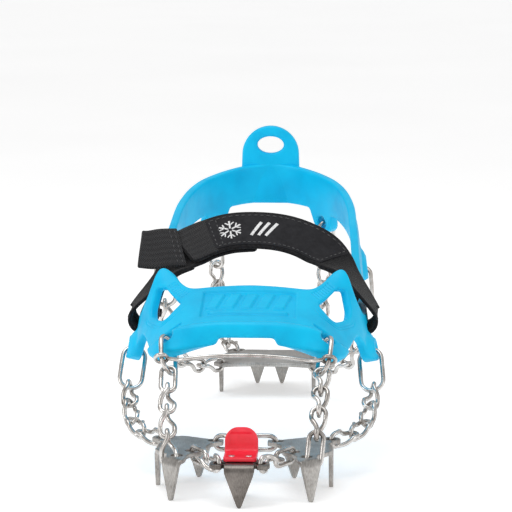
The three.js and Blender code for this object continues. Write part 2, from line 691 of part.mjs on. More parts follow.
// The origin is the middle of the footprint, on the ground.
const box = new THREE.Box3().setFromObject(assembly, true);
const middle = box.getCenter(v3());
assembly.position.set(-middle.x, -middle.y, -box.min.z);

export default assembly;
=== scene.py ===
"""Looks of a shoe ice cleat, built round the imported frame.

Shapes are drawn in millimetres in the drawing frame, which lies DRAWING_SHIFT behind the packed
one along y. A sheet is drawn flat as (u, h, w): along, across and outward, and then put in place.
"""

import math

import bpy
import numpy as np
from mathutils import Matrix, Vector
from mathutils.geometry import delaunay_2d_cdt


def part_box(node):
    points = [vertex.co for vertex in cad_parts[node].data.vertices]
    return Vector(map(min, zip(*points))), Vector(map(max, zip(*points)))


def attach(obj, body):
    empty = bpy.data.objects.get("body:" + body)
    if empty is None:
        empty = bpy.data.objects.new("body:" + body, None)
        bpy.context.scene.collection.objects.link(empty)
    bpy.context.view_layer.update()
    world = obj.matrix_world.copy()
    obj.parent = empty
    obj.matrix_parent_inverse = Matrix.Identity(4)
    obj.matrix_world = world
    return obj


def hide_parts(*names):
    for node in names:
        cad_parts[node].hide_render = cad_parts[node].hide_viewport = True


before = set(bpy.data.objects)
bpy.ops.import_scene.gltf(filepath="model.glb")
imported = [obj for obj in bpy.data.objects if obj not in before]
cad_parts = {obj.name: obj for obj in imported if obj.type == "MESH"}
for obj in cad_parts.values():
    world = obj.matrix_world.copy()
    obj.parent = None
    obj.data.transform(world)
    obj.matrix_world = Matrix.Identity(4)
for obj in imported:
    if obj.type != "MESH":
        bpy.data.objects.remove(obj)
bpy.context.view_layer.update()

MM = 0.001
TOE_STOP_FRONT = -139.5
DRAWING_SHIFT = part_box("toe_stop")[0].y / MM - TOE_STOP_FRONT
FLAT_TO_UV = 0.01  # one unit of the flat map is 100 mm
MIRROR = np.array([-1, 1, 1])

# Plates, wire and chain.
SPIKE_HEIGHT = 16.5
PLATE = 2.0
PLATE_MID = SPIKE_HEIGHT + PLATE / 2
BEND = 2.2  # radius of a spike's bend, at the middle of the plate's thickness
BEND_START = -0.2 - BEND  # from a spike's place to where its bend starts
CHAIN_HOLE = 2.6
WIRE = 1.05
LINK_LENGTH = 15.15
LINK_WIDTH = 6.3
CORNER_RING_WIDTH = 11.8
RING_WIDTH = 10.4

# Harness.
HARNESS = 4.0
LIP = 2.0
FOLD_LINE = -16.5
FOLD_RADIUS = 4.5
FOLD_ANGLE = math.radians(62)
FOLD_FADE = (13, 46)  # girths between which the fold opens out
RING_HOLE = 3.3

# Straps.
STRAP = 1.4
STRAP_HALF = 11.5
STRAP_RIM = 0.62
BAR_LOOP = 5.45
LAYER_GAP = 0.6


def row(points):
    """Points of the drawing frame, in millimetres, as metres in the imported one."""
    return (np.asarray(points, float) + (0, DRAWING_SHIFT, 0)) * MM


def smoothstep(x, low, high):
    t = np.clip((x - low) / (high - low), 0, 1)
    return t * t * (3 - 2 * t)


def unit(vectors):
    return vectors / np.linalg.norm(vectors, axis=-1, keepdims=True)


# Camera, floor and light --------------------------------------------
AZIMUTH, ELEVATION, DISTANCE = math.radians(3), math.radians(9), 1200
LENS = 179.7
CAMERA_MIDDLE = (0, -20, 70)
AIM_RIGHT, AIM_UP = 0.8, 20.5  # from the middle to where the camera aims


def put_in_scene(data, place, direction):
    thing = bpy.data.objects.new(data.name, data)
    bpy.context.scene.collection.objects.link(thing)
    thing.location = place
    thing.rotation_mode = "QUATERNION"
    thing.rotation_quaternion = direction.to_track_quat("-Z", "Y")
    return thing


def make_camera():
    back = Vector((
        math.sin(AZIMUTH) * math.cos(ELEVATION),
        -math.cos(AZIMUTH) * math.cos(ELEVATION),
        math.sin(ELEVATION),
    ))
    right = Vector((math.cos(AZIMUTH), math.sin(AZIMUTH), 0))
    up = back.cross(right)
    middle = Vector(CAMERA_MIDDLE)
    place = middle + back * DISTANCE
    aim = middle + right * AIM_RIGHT + up * AIM_UP
    data = bpy.data.cameras.new("camera")
    data.lens = LENS
    data.sensor_width = 36
    data.clip_end = 100
    bpy.context.scene.camera = put_in_scene(data, row(place), aim - place)


def area_light(name, place, aim, size, watts):
    data = bpy.data.lights.new(name, "AREA")
    data.shape = "RECTANGLE"
    data.size, data.size_y = size
    data.energy = watts
    put_in_scene(data, place, Vector(aim) - Vector(place))


SKY = 0.62
FLOOR_GLOW = 0.4  # keeps the far floor as pale as the near one
FLOOR_HALF = 9
LIGHTS = [  # name, place, aim and size in metres, and watts
    ("top_light", (-0.15, -0.1, 0.9), (0, 0, 0.05), (0.7, 0.5), 2.6),
    ("left_light", (-0.8, -0.6, 0.45), (0, -0.05, 0.06), (0.3, 0.6), 1.8),
    ("right_light", (0.85, -0.45, 0.3), (0, -0.05, 0.06), (0.2, 0.6), 0.8),
]


def make_studio():
    world = bpy.data.worlds.new("studio")
    world.use_nodes = True
    background = world.node_tree.nodes["Background"]
    background.inputs["Color"].default_value = (1, 1, 1, 1)
    background.inputs["Strength"].default_value = SKY
    bpy.context.scene.world = world
    bpy.context.scene.view_settings.view_transform = "Standard"
    for light in LIGHTS:
        area_light(*light)
    corners = [(x * FLOOR_HALF, y * FLOOR_HALF, 0) for x, y in ((-1, -1), (1, -1), (1, 1), (-1, 1))]
    floor = mesh_object("floor", corners, [(0, 1, 2, 3)])
    floor.data.materials.append(floor_paint())


# Meshes -------------------------------------------------------------
def mesh_object(name, points, faces, flat=None):
    """A mesh from points in metres. flat gives each point's place on the flat map."""
    mesh = bpy.data.meshes.new(name)
    mesh.from_pydata([tuple(p) for p in points], [], [tuple(int(i) for i in f) for f in faces])
    if flat is not None:
        layer = mesh.uv_layers.new(name="flat")
        corners = np.zeros(len(mesh.loops), np.int32)
        mesh.loops.foreach_get("vertex_index", corners)
        layer.data.foreach_set("uv", (np.asarray(flat)[corners] * FLAT_TO_UV).astype(np.float32).ravel())
    mesh.polygons.foreach_set("use_smooth", [True] * len(mesh.polygons))
    mesh.validate()
    thing = bpy.data.objects.new(name, mesh)
    bpy.context.scene.collection.objects.link(thing)
    return thing


def finish_piece(piece, paint, body, slot, *nodes):
    piece.data.materials.append(paint)
    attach(piece, body)
    if nodes:
        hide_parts(*nodes)
    return piece


def make_piece(name, shell, paint, body, slot, *nodes):
    """A piece from a shell, which is its points in the drawing frame, faces and flat map."""
    points, faces, flat = shell
    return finish_piece(mesh_object(name, row(points), faces, flat), paint, body, slot, *nodes)


def joined_shells(shells):
    points, faces, flats, first = [], [], [], 0
    for p, f, flat in shells:
        points.append(p)
        faces += [tuple(i + first for i in face) for face in f]
        flats.append(flat)
        first += len(p)
    return np.concatenate(points), faces, np.concatenate(flats)


def soften(corners, reach, closed=True, turns=4):
    """Rounds the corners of an outline, with a curve that starts reach before each."""
    corners = np.array(corners, float)
    count = len(corners)
    found = []
    for i, at in enumerate(corners):
        if not closed and i in (0, count - 1):
            found.append(at)
            continue
        before, after = corners[i - 1] - at, corners[(i + 1) % count] - at
        a = at + before * min(0.45, reach / np.linalg.norm(before))
        b = at + after * min(0.45, reach / np.linalg.norm(after))
        for t in np.linspace(0, 1, turns + 1):
            found.append((1 - t) ** 2 * a + 2 * t * (1 - t) * at + t * t * b)
    return np.array(found)


def divided(loop, step):
    found = []
    for a, b in zip(loop, np.roll(loop, -1, 0)):
        parts = max(1, math.ceil(np.linalg.norm(b - a) / step - 1e-6))
        found += [a + (b - a) * k / parts for k in range(parts)]
    return np.array(found)


def full_turn(sides):
    return np.arange(sides) * 2 * math.pi / sides


def oval(x, y, half_width, half_height, sides):
    turn = full_turn(sides)
    return np.stack([x + half_width * np.cos(turn), y + half_height * np.sin(turn)], 1)


def circle(x, y, radius, sides=24):
    return oval(x, y, radius, radius, sides)


def strip(start, end, half, corner):
    """A strip's outline, with rounded corners."""
    return soften([(start, -half), (end, -half), (end, half), (start, half)], corner)


def inside(points, loop):
    x, y = points.T
    hit = np.zeros(len(points), bool)
    for (x0, y0), (x1, y1) in zip(loop, np.roll(loop, -1, 0)):
        if y0 != y1:
            hit ^= ((y0 > y) != (y1 > y)) & (x < (x1 - x0) * (y - y0) / (y1 - y0) + x0)
    return hit


def edge_distance(points, loops, seam=None):
    """How far each point is from the nearest edge of the loops, apart from a seam at |u| = seam."""
    best = np.full(len(points), 1e9)
    for loop in loops:
        for a, b in zip(loop, np.roll(loop, -1, 0)):
            if seam and abs(a[0]) > seam and abs(b[0]) > seam:
                continue
            edge = b - a
            t = np.clip((points - a) @ edge / (edge @ edge), 0, 1)
            best = np.minimum(best, np.linalg.norm(points - a - t[:, None] * edge, axis=1))
    return best


def grid(low, high, step):
    """Staggered rows of points over a box."""
    rows = []
    for k, y in enumerate(np.arange(low[1], high[1], step * 0.87)):
        x = np.arange(low[0] + (k % 2) * step / 2, high[0], step)
        rows.append(np.stack([x, np.full(len(x), y)], 1))
    return np.concatenate(rows)


RIM_SHARES = (0.12, 0.45, 1.0)  # shares of the rim's width at which a rounded rim has points


def net(loops, fill, rim, seam):
    """Triangles over a flat shape whose first loop is its outline and the others its holes."""
    near = [fill[edge_distance(fill, loops, seam) > rim * 1.3]]
    for share in RIM_SHARES:
        for loop in loops:
            tangent = unit(np.roll(loop, -1, 0) - np.roll(loop, 1, 0))
            normal = np.stack([-tangent[:, 1], tangent[:, 0]], 1)
            both = np.concatenate([loop + normal * rim * share, loop - normal * rim * share])
            near.append(both[edge_distance(both, loops, seam) > rim * share * 0.97])
    near = np.concatenate(near)
    keep = inside(near, loops[0])
    for hole in loops[1:]:
        keep &= ~inside(near, hole)
    if seam:
        keep &= np.abs(near[:, 0]) < seam - 0.3
    corners, edges = [], []
    for loop in loops:
        first = len(corners)
        corners += [Vector(p) for p in loop]
        edges += [(first + i, first + (i + 1) % len(loop)) for i in range(len(loop))]
    corners += [Vector(p) for p in near[keep]]
    made = delaunay_2d_cdt(corners, edges, [], 0, 1e-5)
    flat = np.array([tuple(p) for p in made[0]])
    triangles = np.array([f for f in made[2] if len(f) == 3])
    middles = flat[triangles].mean(1)
    good = inside(middles, loops[0])
    for hole in loops[1:]:
        good &= ~inside(middles, hole)
    triangles = triangles[good]
    a, b, c = flat[triangles].transpose(1, 0, 2)
    area = (b[:, 0] - a[:, 0]) * (c[:, 1] - a[:, 1]) - (c[:, 0] - a[:, 0]) * (b[:, 1] - a[:, 1])
    triangles[area < 0] = triangles[area < 0][:, ::-1]
    return flat, triangles


def slab(outline, holes, fill, rim, depth, place, base=None, seam=None, edge_step=1.0):
    """A sheet with rounded edges. depth(u, h) is its outer face's w, base(u, h) its inner one's
    (0 if left out), and place(u, h, w) puts points in the drawing frame."""
    loops = [divided(loop, edge_step) for loop in [outline, *holes]]
    flat, triangles = net(loops, fill, rim, seam)
    used = np.unique(triangles)
    renumber = np.zeros(len(flat), int)
    renumber[used] = np.arange(len(used))
    flat, triangles = flat[used], renumber[triangles]
    u, h = flat.T
    gap = np.minimum(edge_distance(flat, loops, seam), rim)
    drop = rim - np.sqrt(np.maximum(0, rim**2 - (rim - gap) ** 2))
    low = base(u, h) if base else np.zeros(len(u))
    points = np.concatenate([place(u, h, depth(u, h) - drop), place(u, h, low + drop)])
    count = len(flat)
    faces = [tuple(t) for t in triangles] + [(c + count, b + count, a + count) for a, b, c in triangles]
    sides = {}
    for a, b, c in triangles:
        for edge in ((a, b), (b, c), (c, a)):
            sides[edge] = edge
    for a, b in sides:
        on_seam = seam and abs(flat[a][0]) > seam and abs(flat[b][0]) > seam
        if (b, a) not in sides and not on_seam:
            faces.append((b, a, a + count, b + count))
    return points, faces, np.concatenate([flat, flat])


def constant(value):
    return lambda u, h: np.full(len(u), float(value))


def track(keys, values):
    """A smooth curve through values at keys; the first and last only give the end slopes."""
    keys, values = np.array(keys, float), np.array(values, float)
    slopes = (values[2:] - values[:-2]) / (keys[2:] - keys[:-2])[:, None]
    keys, values = keys[1:-1], values[1:-1]

    def at(s):
        i = np.clip(np.searchsorted(keys, s, side="right") - 1, 0, len(keys) - 2)
        span = (keys[i + 1] - keys[i])[:, None]
        t = (s - keys[i])[:, None] / span
        start = (2 * t**3 - 3 * t**2 + 1) * values[i] + (t**3 - 2 * t**2 + t) * span * slopes[i]
        return start + (3 * t**2 - 2 * t**3) * values[i + 1] + (t**3 - t**2) * span * slopes[i + 1]

    return at


def lengths_along(line):
    steps = np.linalg.norm(np.diff(np.array(line, float), axis=0), axis=1)
    return np.concatenate([[0], np.cumsum(steps)])


def open_track(keys, values):
    keys, values = list(keys), [np.array(v, float) for v in values]
    keys = [2 * keys[0] - keys[1], *keys, 2 * keys[-1] - keys[-2]]
    values = [2 * values[0] - values[1], *values, 2 * values[-1] - values[-2]]
    return track(keys, values)


def tube(path, radius, sides=12, closed=False):
    """A wire along a path, with a frame carried along it, and a flat cap at each end if it is open."""
    path = np.asarray(path, float)
    count = len(path)
    if closed:
        tangent = unit(np.roll(path, -1, 0) - np.roll(path, 1, 0))
    else:
        tangent = unit(np.gradient(path, axis=0))
    radius = np.broadcast_to(radius, count)
    side = np.cross(tangent[0], (0.3, 0.5, 0.81))
    frames = []
    for t in tangent:
        side = unit(side - t * (side @ t))
        frames.append(side)
    slip = 0.0
    if closed:
        last = unit(side - tangent[0] * (side @ tangent[0]))
        slip = math.atan2(np.cross(last, frames[0]) @ tangent[0], last @ frames[0])
    angles = full_turn(sides)
    rings = []
    for i in range(count):
        turn = angles + slip * i / count
        other = np.cross(tangent[i], frames[i])
        ring = np.outer(np.cos(turn), frames[i]) + np.outer(np.sin(turn), other)
        rings.append(path[i] + ring * radius[i])
    points = np.concatenate(rings)
    faces = []
    for i in range(count if closed else count - 1):
        a, b = i * sides, (i + 1) % count * sides
        faces += [(a + j, a + (j + 1) % sides, b + (j + 1) % sides, b + j) for j in range(sides)]
    if not closed:
        faces.append(tuple(range(sides))[::-1])
        faces.append(tuple((count - 1) * sides + j for j in range(sides)))
    along = np.repeat(np.arange(count), sides)
    around = np.tile(np.arange(sides), count)
    return points, faces, np.stack([along, around], 1) * 1.0


# Materials ----------------------------------------------------------
class Paint:
    """A Principled material with a few short ways to add nodes."""

    def __init__(self, name, **values):
        self.material = bpy.data.materials.new(name)
        self.material.use_nodes = True
        self.tree = self.material.node_tree
        self.shader = self.tree.nodes["Principled BSDF"]
        for key, value in values.items():
            self.shader.inputs[key.replace("_", " ")].default_value = value
        self.normal = None

    def node(self, kind, **values):
        made = self.tree.nodes.new(kind)
        for key, value in values.items():
            if key.islower():
                setattr(made, key, value)
            elif isinstance(value, bpy.types.NodeSocket):
                self.tree.links.new(value, made.inputs[key.replace("_", " ")])
            else:
                made.inputs[key.replace("_", " ")].default_value = value
        return made

    def place(self, scale=(1, 1, 1), turn=0.0, flat=False):
        source = self.node("ShaderNodeUVMap", uv_map="flat").outputs["UV"] if flat else None
        source = source or self.node("ShaderNodeTexCoord").outputs["Object"]
        made = self.node("ShaderNodeMapping", Vector=source, Scale=scale, Rotation=(0, 0, turn))
        return made.outputs[0]

    def noise(self, scale, detail=3.0, where=None, rough=0.55):
        where = where or self.place()
        made = self.node("ShaderNodeTexNoise", Vector=where, Scale=scale, Detail=detail, Roughness=rough)
        return made.outputs["Fac"]

    def wave(self, scale, where, distortion=0.0, profile="SIN"):
        made = self.node(
            "ShaderNodeTexWave", Vector=where, Scale=scale, Distortion=distortion, wave_profile=profile
        )
        return made.outputs["Fac"]

    def math(self, operation, a, b=0.5):
        made = self.tree.nodes.new("ShaderNodeMath")
        made.operation = operation
        for slot, value in enumerate((a, b)):
            if isinstance(value, bpy.types.NodeSocket):
                self.tree.links.new(value, made.inputs[slot])
            else:
                made.inputs[slot].default_value = value
        return made.outputs[0]

    def ramp(self, factor, *stops):
        made = self.node("ShaderNodeValToRGB", Fac=factor)
        elements = made.color_ramp.elements
        while len(elements) < len(stops):
            elements.new(0.5)
        for element, (position, colour) in zip(elements, stops):
            element.position = position
            element.color = (*colour, 1)
        return made.outputs["Color"]

    def colour(self, factor, *stops):
        self.tree.links.new(self.ramp(factor, *stops), self.shader.inputs["Base Color"])

    def spread(self, socket, factor, low, high):
        made = self.node("ShaderNodeMapRange", Value=factor)
        made.inputs["To Min"].default_value = low
        made.inputs["To Max"].default_value = high
        self.tree.links.new(made.outputs[0], self.shader.inputs[socket])

    def bump(self, height, distance, strength=1.0):
        made = self.node("ShaderNodeBump", Height=height, Distance=distance * MM, Strength=strength)
        if self.normal:
            self.tree.links.new(self.normal, made.inputs["Normal"])
        self.normal = made.outputs["Normal"]
        self.tree.links.new(self.normal, self.shader.inputs["Normal"])


def floor_paint():
    paint = Paint("floor_paint", Roughness=0.6, Specular_IOR_Level=0.2, Emission_Strength=FLOOR_GLOW)
    paint.shader.inputs["Emission Color"].default_value = (1, 1, 1, 1)
    paint.colour(paint.noise(3), (0.3, (0.86, 0.86, 0.86)), (0.7, (0.9, 0.9, 0.9)))
    return paint.material


def elastomer_paint():
    paint = Paint(
        "blue_elastomer", Specular_IOR_Level=0.22, Subsurface_Weight=0.04, Subsurface_Scale=0.003
    )
    paint.shader.inputs["Subsurface Radius"].default_value = (0.2, 0.6, 1.0)
    paint.colour(
        paint.noise(70, 5),
        (0.3, (0.0, 0.45, 0.77)),
        (0.5, (0.0, 0.51, 0.84)),
        (0.72, (0.001, 0.56, 0.89)),
    )
    paint.spread("Roughness", paint.noise(320, 4), 0.3, 0.52)
    paint.bump(paint.noise(2600, 2), 0.03, 0.5)
    paint.bump(paint.noise(160, 3), 0.12, 0.25)
    return paint.material


def wire_paint():
    paint = Paint("polished_wire", Metallic=1.0)
    paint.colour(
        paint.noise(130, 5),
        (0.28, (0.28, 0.25, 0.225)),
        (0.5, (0.58, 0.555, 0.53)),
        (0.75, (0.78, 0.765, 0.745)),
    )
    paint.spread("Roughness", paint.noise(420, 4), 0.1, 0.34)
    paint.bump(paint.noise(900, 4), 0.05, 0.35)
    return paint.material


def plate_paint(name, dark, light, turn):
    paint = Paint(name, Metallic=1.0)
    brushed = paint.noise(1.0, 5, paint.place((3200, 180, 700), turn))
    blotches = paint.noise(95, 4)
    mixed = paint.math("MULTIPLY", paint.math("ADD", brushed, blotches), 0.5)
    paint.colour(mixed, (0.36, dark), (0.62, light))
    paint.spread("Roughness", brushed, 0.24, 0.5)
    paint.bump(brushed, 0.03, 0.5)
    paint.bump(paint.noise(420, 3), 0.05, 0.3)
    return paint.material


def toe_stop_paint():
    paint = Paint("red_plastic", Specular_IOR_Level=0.5, Coat_Weight=0.15)
    paint.colour(paint.noise(140, 4), (0.35, (0.86, 0.014, 0.035)), (0.65, (0.98, 0.028, 0.06)))
    paint.spread("Roughness", paint.noise(500, 4), 0.26, 0.44)
    paint.bump(paint.noise(2200, 2), 0.02, 0.5)
    return paint.material


def felt_paint():
    paint = Paint("black_felt", Sheen_Weight=0.12, Sheen_Roughness=0.4, Specular_IOR_Level=0.15)
    fibres = paint.noise(2400, 6, rough=0.7)
    paint.colour(paint.noise(900, 5), (0.3, (0.004, 0.004, 0.005)), (0.7, (0.02, 0.0195, 0.0205)))
    paint.spread("Roughness", fibres, 0.8, 1.0)
    paint.bump(fibres, 0.35, 0.8)
    paint.bump(paint.wave(26, paint.place(flat=True), 2.0), 0.1, 0.4)
    return paint.material


def face_paint():
    paint = Paint("black_face", Sheen_Weight=0.03, Specular_IOR_Level=0.22)
    where = paint.place(flat=True)
    across = paint.wave(52, where)
    along = paint.wave(52, paint.place(turn=math.pi / 2, flat=True))
    weave = paint.math("MULTIPLY", across, along)
    paint.colour(paint.noise(260, 5), (0.3, (0.006, 0.006, 0.008)), (0.7, (0.015, 0.015, 0.018)))
    paint.spread("Roughness", paint.noise(700, 4), 0.55, 0.8)
    paint.bump(weave, 0.09, 0.6)
    return paint.material


def herringbone_paint():
    paint = Paint("black_herringbone", Sheen_Weight=0.12, Specular_IOR_Level=0.2)
    split = paint.node("ShaderNodeSeparateXYZ", Vector=paint.place(flat=True))
    zigzag = paint.math("PINGPONG", split.outputs["Y"], 0.016)
    slant = paint.math("ADD", split.outputs["X"], zigzag)
    joined = paint.node("ShaderNodeCombineXYZ", X=slant)
    ribs = paint.wave(34, joined.outputs[0])
    mixed = paint.math("MULTIPLY", paint.math("ADD", ribs, paint.noise(1500, 4)), 0.5)
    paint.colour(mixed, (0.25, (0.004, 0.004, 0.005)), (0.8, (0.045, 0.044, 0.046)))
    paint.spread("Roughness", mixed, 0.95, 0.7)
    paint.bump(ribs, 0.3, 0.9)
    return paint.material


def thread_paint():
    paint = Paint("dark_thread", Sheen_Weight=0.2)
    paint.colour(paint.noise(2500, 3), (0.3, (0.03, 0.03, 0.032)), (0.7, (0.085, 0.083, 0.085)))
    paint.spread("Roughness", paint.noise(1800, 2), 0.55, 0.85)
    paint.bump(paint.wave(900, paint.place(turn=0.7)), 0.05, 0.6)
    return paint.material


def print_paint():
    paint = Paint("white_print", Specular_IOR_Level=0.4)
    paint.colour(paint.noise(1500, 5), (0.32, (0.35, 0.35, 0.36)), (0.5, (0.8, 0.8, 0.8)))
    paint.spread("Roughness", paint.noise(900, 3), 0.5, 0.75)
    paint.bump(paint.noise(2600, 2), 0.02, 0.5)
    return paint.material


# Harness ------------------------------------------------------------
STATION_POINTS = [
    (0, -68, 76.2), (18, -68, 75.6), (33, -66.5, 72.5), (43, -60, 67.5), (50, -50, 62), (53.5, -39, 58),
    (54, -23, 58), (52.5, 0, 62), (50, 35, 73), (48.5, 64, 82), (45, 98, 94), (35.5, 124, 101),
    (18, 143, 104.5), (0, 149, 105.5),
]
STATION_UPS = [
    (0, 0.93, 0.37), (-0.01, 0.93, 0.37), (-0.06, 0.9, 0.43), (-0.08, 0.72, 0.69), (-0.14, 0.42, 0.9),
    (-0.2, 0.08, 0.98), (-0.15, 0, 0.99), (-0.14, 0, 0.99), (-0.13, -0.05, 0.99), (-0.12, -0.05, 0.99),
    (-0.1, -0.05, 0.99), (-0.05, -0.08, 0.99), (-0.02, -0.1, 0.99), (0, -0.1, 0.99),
]
GIRTHS = lengths_along(STATION_POINTS)
HEEL = GIRTHS[-1]
TOP_EDGE = [
    (0, 16.5), (20, 15.5), (28, 16.5), (35, 23), (40.5, 28), (46, 29.5), (50.5, 28.5), (54.5, 24.5),
    (57.5, 19), (61.5, 13), (69, 9.5), (73.5, 8.6), (100.5, 8.6), (111, 9), (148, 9.5), (178, 13),
    (214, 10), (250, 10), (HEEL, 12),
]
BOTTOM_EDGE = [
    (0, -24.5), (12.5, -24.5), (14, -27.5), (27.5, -28.5), (31, -29), (40, -28.5), (44, -24),
    (47.5, -16.5), (53, -8), (57, -4.5), (62, -6.5), (65, -12), (68, -13.5), (79, -13.5), (82.5, -12),
    (88, -7), (111, -7.5), (148, -8), (165, -7.5), (169, -11), (172, -12.5), (180, -12.5),
    (183.5, -11), (188, -7.5), (214, -9), (243, -9), (246.5, -17), (250, -20), (256, -20),
    (259.5, -17), (263, -9), (HEEL, -9),
]
DIAMOND = [
    (32, 4.5), (37.5, -3), (40.5, -4), (50.5, 2.5), (52.5, 7), (50.5, 17.5), (43.5, 18), (33, 7.5)
]
STRAP_SLOT = [(74, -2.8), (100.5, -2.8), (100.5, 3.4), (74, 3.4)]
CORNER_HOLE = (35.5, -19.5)
LUGS = [(73.5, -8.5), (176, -7.5), (253, -15)]
BAR = (87, 6)
FRONT = 62  # girth up to which the band is meshed finely
WINDOW = (26, 56, -13, 31)  # girths and heights of a box round a window, meshed finest


def past_both_ends(values):
    """The stations' values with one more at each end, mirrored, so that the ring is smooth."""
    values = [np.array(v, float) for v in values]
    return [values[1] * MIRROR, *values, values[-2] * MIRROR]


BAND_KEYS = [-GIRTHS[1], *GIRTHS, 2 * HEEL - GIRTHS[-2]]
band_point = track(BAND_KEYS, past_both_ends(STATION_POINTS))
band_up = track(BAND_KEYS, past_both_ends(STATION_UPS))


def band_frame(u):
    side = np.where(u < 0, -1.0, 1.0)
    s = np.abs(u)
    step = 0.01
    at, up = band_point(s), unit(band_up(s))
    out = unit(np.cross(band_point(s + step) - band_point(s - step), up))
    for part in (at, up, out):
        part[:, 0] *= side
    return at, up, out


def on_band(u, h, depth):
    """Places of the band: girth u, height h, and depth outward from its inner face."""
    u, h, depth = (np.atleast_1d(np.asarray(x, float)) for x in (u, h, depth))
    at, up, out = band_frame(u)
    w = depth - HARNESS
    fold = FOLD_ANGLE * (1 - smoothstep(np.abs(u), *FOLD_FADE))
    past = np.maximum(0, FOLD_LINE - h)
    angle = np.minimum(past / FOLD_RADIUS, fold)
    straight = np.maximum(0, past - FOLD_RADIUS * fold)
    c, s = np.cos(angle), np.sin(angle)
    rise = np.where(past > 0, FOLD_LINE - FOLD_RADIUS * s - straight * c - w * s, h)
    reach = np.where(past > 0, -FOLD_RADIUS * (1 - c) - straight * s + w * c, w)
    return at + up * rise[:, None] + out * reach[:, None]


def groove(distance, half, soft=0.25):
    return 1 - smoothstep(np.abs(distance), half - soft, half + soft)


def segment_distance(u, h, a, b):
    a, b = np.array(a, float), np.array(b, float)
    points = np.stack([u, h], 1)
    t = np.clip((points - a) @ (b - a) / ((b - a) @ (b - a)), 0, 1)
    return np.linalg.norm(points - a - t[:, None] * (b - a), axis=1)


PANEL = (21.5, -10.8, 11.4)  # half length, foot and top of the recess on the bridge
PANEL_DEPTH = 1.1
BLOCKS = 5
BLOCK_PITCH = 7.6
BLOCK_SLANT = 0.28
RIB_PITCH = 1.8
RIB_DEPTH = 0.5
RIBS = 8
LINE_DEPTH = 0.3
SLIT = ((29.5, -13.2), (34.2, -16.6))
SLIT_DEPTH = 1.6
STRAKE_RISE = 0.5
BOSS_RISE = 0.7


def panel_relief(u, h):
    """The recess on the bridge with a row of slanted blocks and a long bar."""
    half, foot, top = PANEL
    within = smoothstep(half - np.abs(u), 0, 0.5)
    within = within * smoothstep(h - foot, 0, 0.5) * smoothstep(top - h, 0, 0.5)
    blocks = np.zeros(len(u))
    for k in range(BLOCKS):
        slanted = u - (k - BLOCKS // 2) * BLOCK_PITCH - (h - 3) * BLOCK_SLANT
        block = smoothstep(2.7 - np.abs(slanted), 0, 0.4) * smoothstep(6 - np.abs(h - 2.6), 0, 0.4)
        blocks = np.maximum(blocks, block)
    bar = smoothstep(1.3 - np.abs(h + 7), 0, 0.4) * smoothstep(18 - np.abs(u), 0, 0.4)
    return -PANEL_DEPTH * within + 0.75 * PANEL_DEPTH * np.maximum(blocks, bar)


def rib_relief(u, h):
    """Short ribs beside the window, from its inner corner up to its top."""
    a, b = np.array(DIAMOND[-1], float), np.array(DIAMOND[-2], float)
    along = unit(b - a)
    across = np.array([-along[1], along[0]])
    s = (u - a[0]) * along[0] + (h - a[1]) * along[1]
    t = (u - a[0]) * across[0] + (h - a[1]) * across[1]
    wave = 0.5 - 0.5 * np.cos(2 * math.pi * s / RIB_PITCH)
    row_end = RIBS * RIB_PITCH
    within = smoothstep(s, 0, 0.6) * smoothstep(row_end - s, 0, 0.6)
    within = within * smoothstep(2.7 - np.abs(t - 4.6), 0, 0.4)
    return -RIB_DEPTH * wave * within


def relief(u, h):
    """What stands out of the band's outer face, or is cut into it."""
    a = np.abs(u)
    diamond = edge_distance(np.stack([a, h], 1), [np.array(DIAMOND, float)])
    below = smoothstep(4 - h, 0, 6) * smoothstep(a, 27, 33)
    lines = np.maximum(groove(diamond - 2.9, 0.35), groove(diamond - 4.3, 0.35)) * below
    slit = groove(segment_distance(a, h, *SLIT), 0.45)
    strake = groove(h - 1.0, 2.2, 1.2) * smoothstep(a, 112, 124) * smoothstep(HEEL - 26 - a, 0, 10)
    bosses = np.zeros(len(u))
    for cu, ch in LUGS:
        ring = np.hypot(a - cu, h - ch)
        bosses = np.maximum(bosses, groove(ring - 4.9, 0.9, 0.4))
    raised = STRAKE_RISE * strake + BOSS_RISE * bosses
    return panel_relief(u, h) + rib_relief(a, h) + raised - LINE_DEPTH * lines - SLIT_DEPTH * slit


def band_depth(u, h):
    a = np.abs(u)
    thick = np.where(a < 50, smoothstep(FOLD_LINE + 1 - h, 0, 4), 0)
    for cu, ch in LUGS:
        thick = np.maximum(thick, 1 - smoothstep(np.hypot(a - cu, h - ch), 6, 10))
    return HARNESS + LIP * thick + relief(u, h)


def both_halves(edge):
    return [(-u, h) for u, h in reversed(edge) if u > 0] + list(edge)


def make_harness(paint):
    bottom = soften(both_halves(BOTTOM_EDGE), 1.6, closed=False)
    top = soften(both_halves(TOP_EDGE), 4.0, closed=False)
    outline = np.concatenate([bottom, top[::-1]])
    holes = []
    for side in (1, -1):
        for corners, reach in ((DIAMOND, 1.8), (STRAP_SLOT, 1.2)):
            holes.append(soften([(side * u, h) for u, h in corners], reach))
        for u, h in (CORNER_HOLE, *LUGS):
            holes.append(circle(side * u, h, RING_HOLE))
    coarse = grid((-HEEL, -32), (HEEL, 34), 2.2)
    coarse = coarse[np.abs(coarse[:, 0]) > FRONT]
    near, far, foot, top = WINDOW
    fine = grid((-FRONT, -30), (FRONT, 32), 0.62)
    a = np.abs(fine[:, 0])
    fine = fine[(a < near) | (a > far) | (fine[:, 1] < foot)]
    finest = [grid((near, foot), (far, top), 0.42), grid((-far, foot), (-near, top), 0.42)]
    lugs = [grid((s * u - 10, h - 9), (s * u + 10, h + 9), 0.9) for u, h in LUGS for s in (1, -1)]
    fill = np.concatenate([coarse, fine, *finest, *lugs])
    seam = HEEL - 1e-4
    points, faces, flat = slab(
        outline, holes, fill, 1.1, band_depth, on_band, seam=seam, edge_step=0.9
    )
    harness = mesh_object("blue_harness", row(points), faces, flat)
    weld(harness)
    finish_piece(harness, paint, "harness", "harness", "harness")
    make_heel_tab(paint)


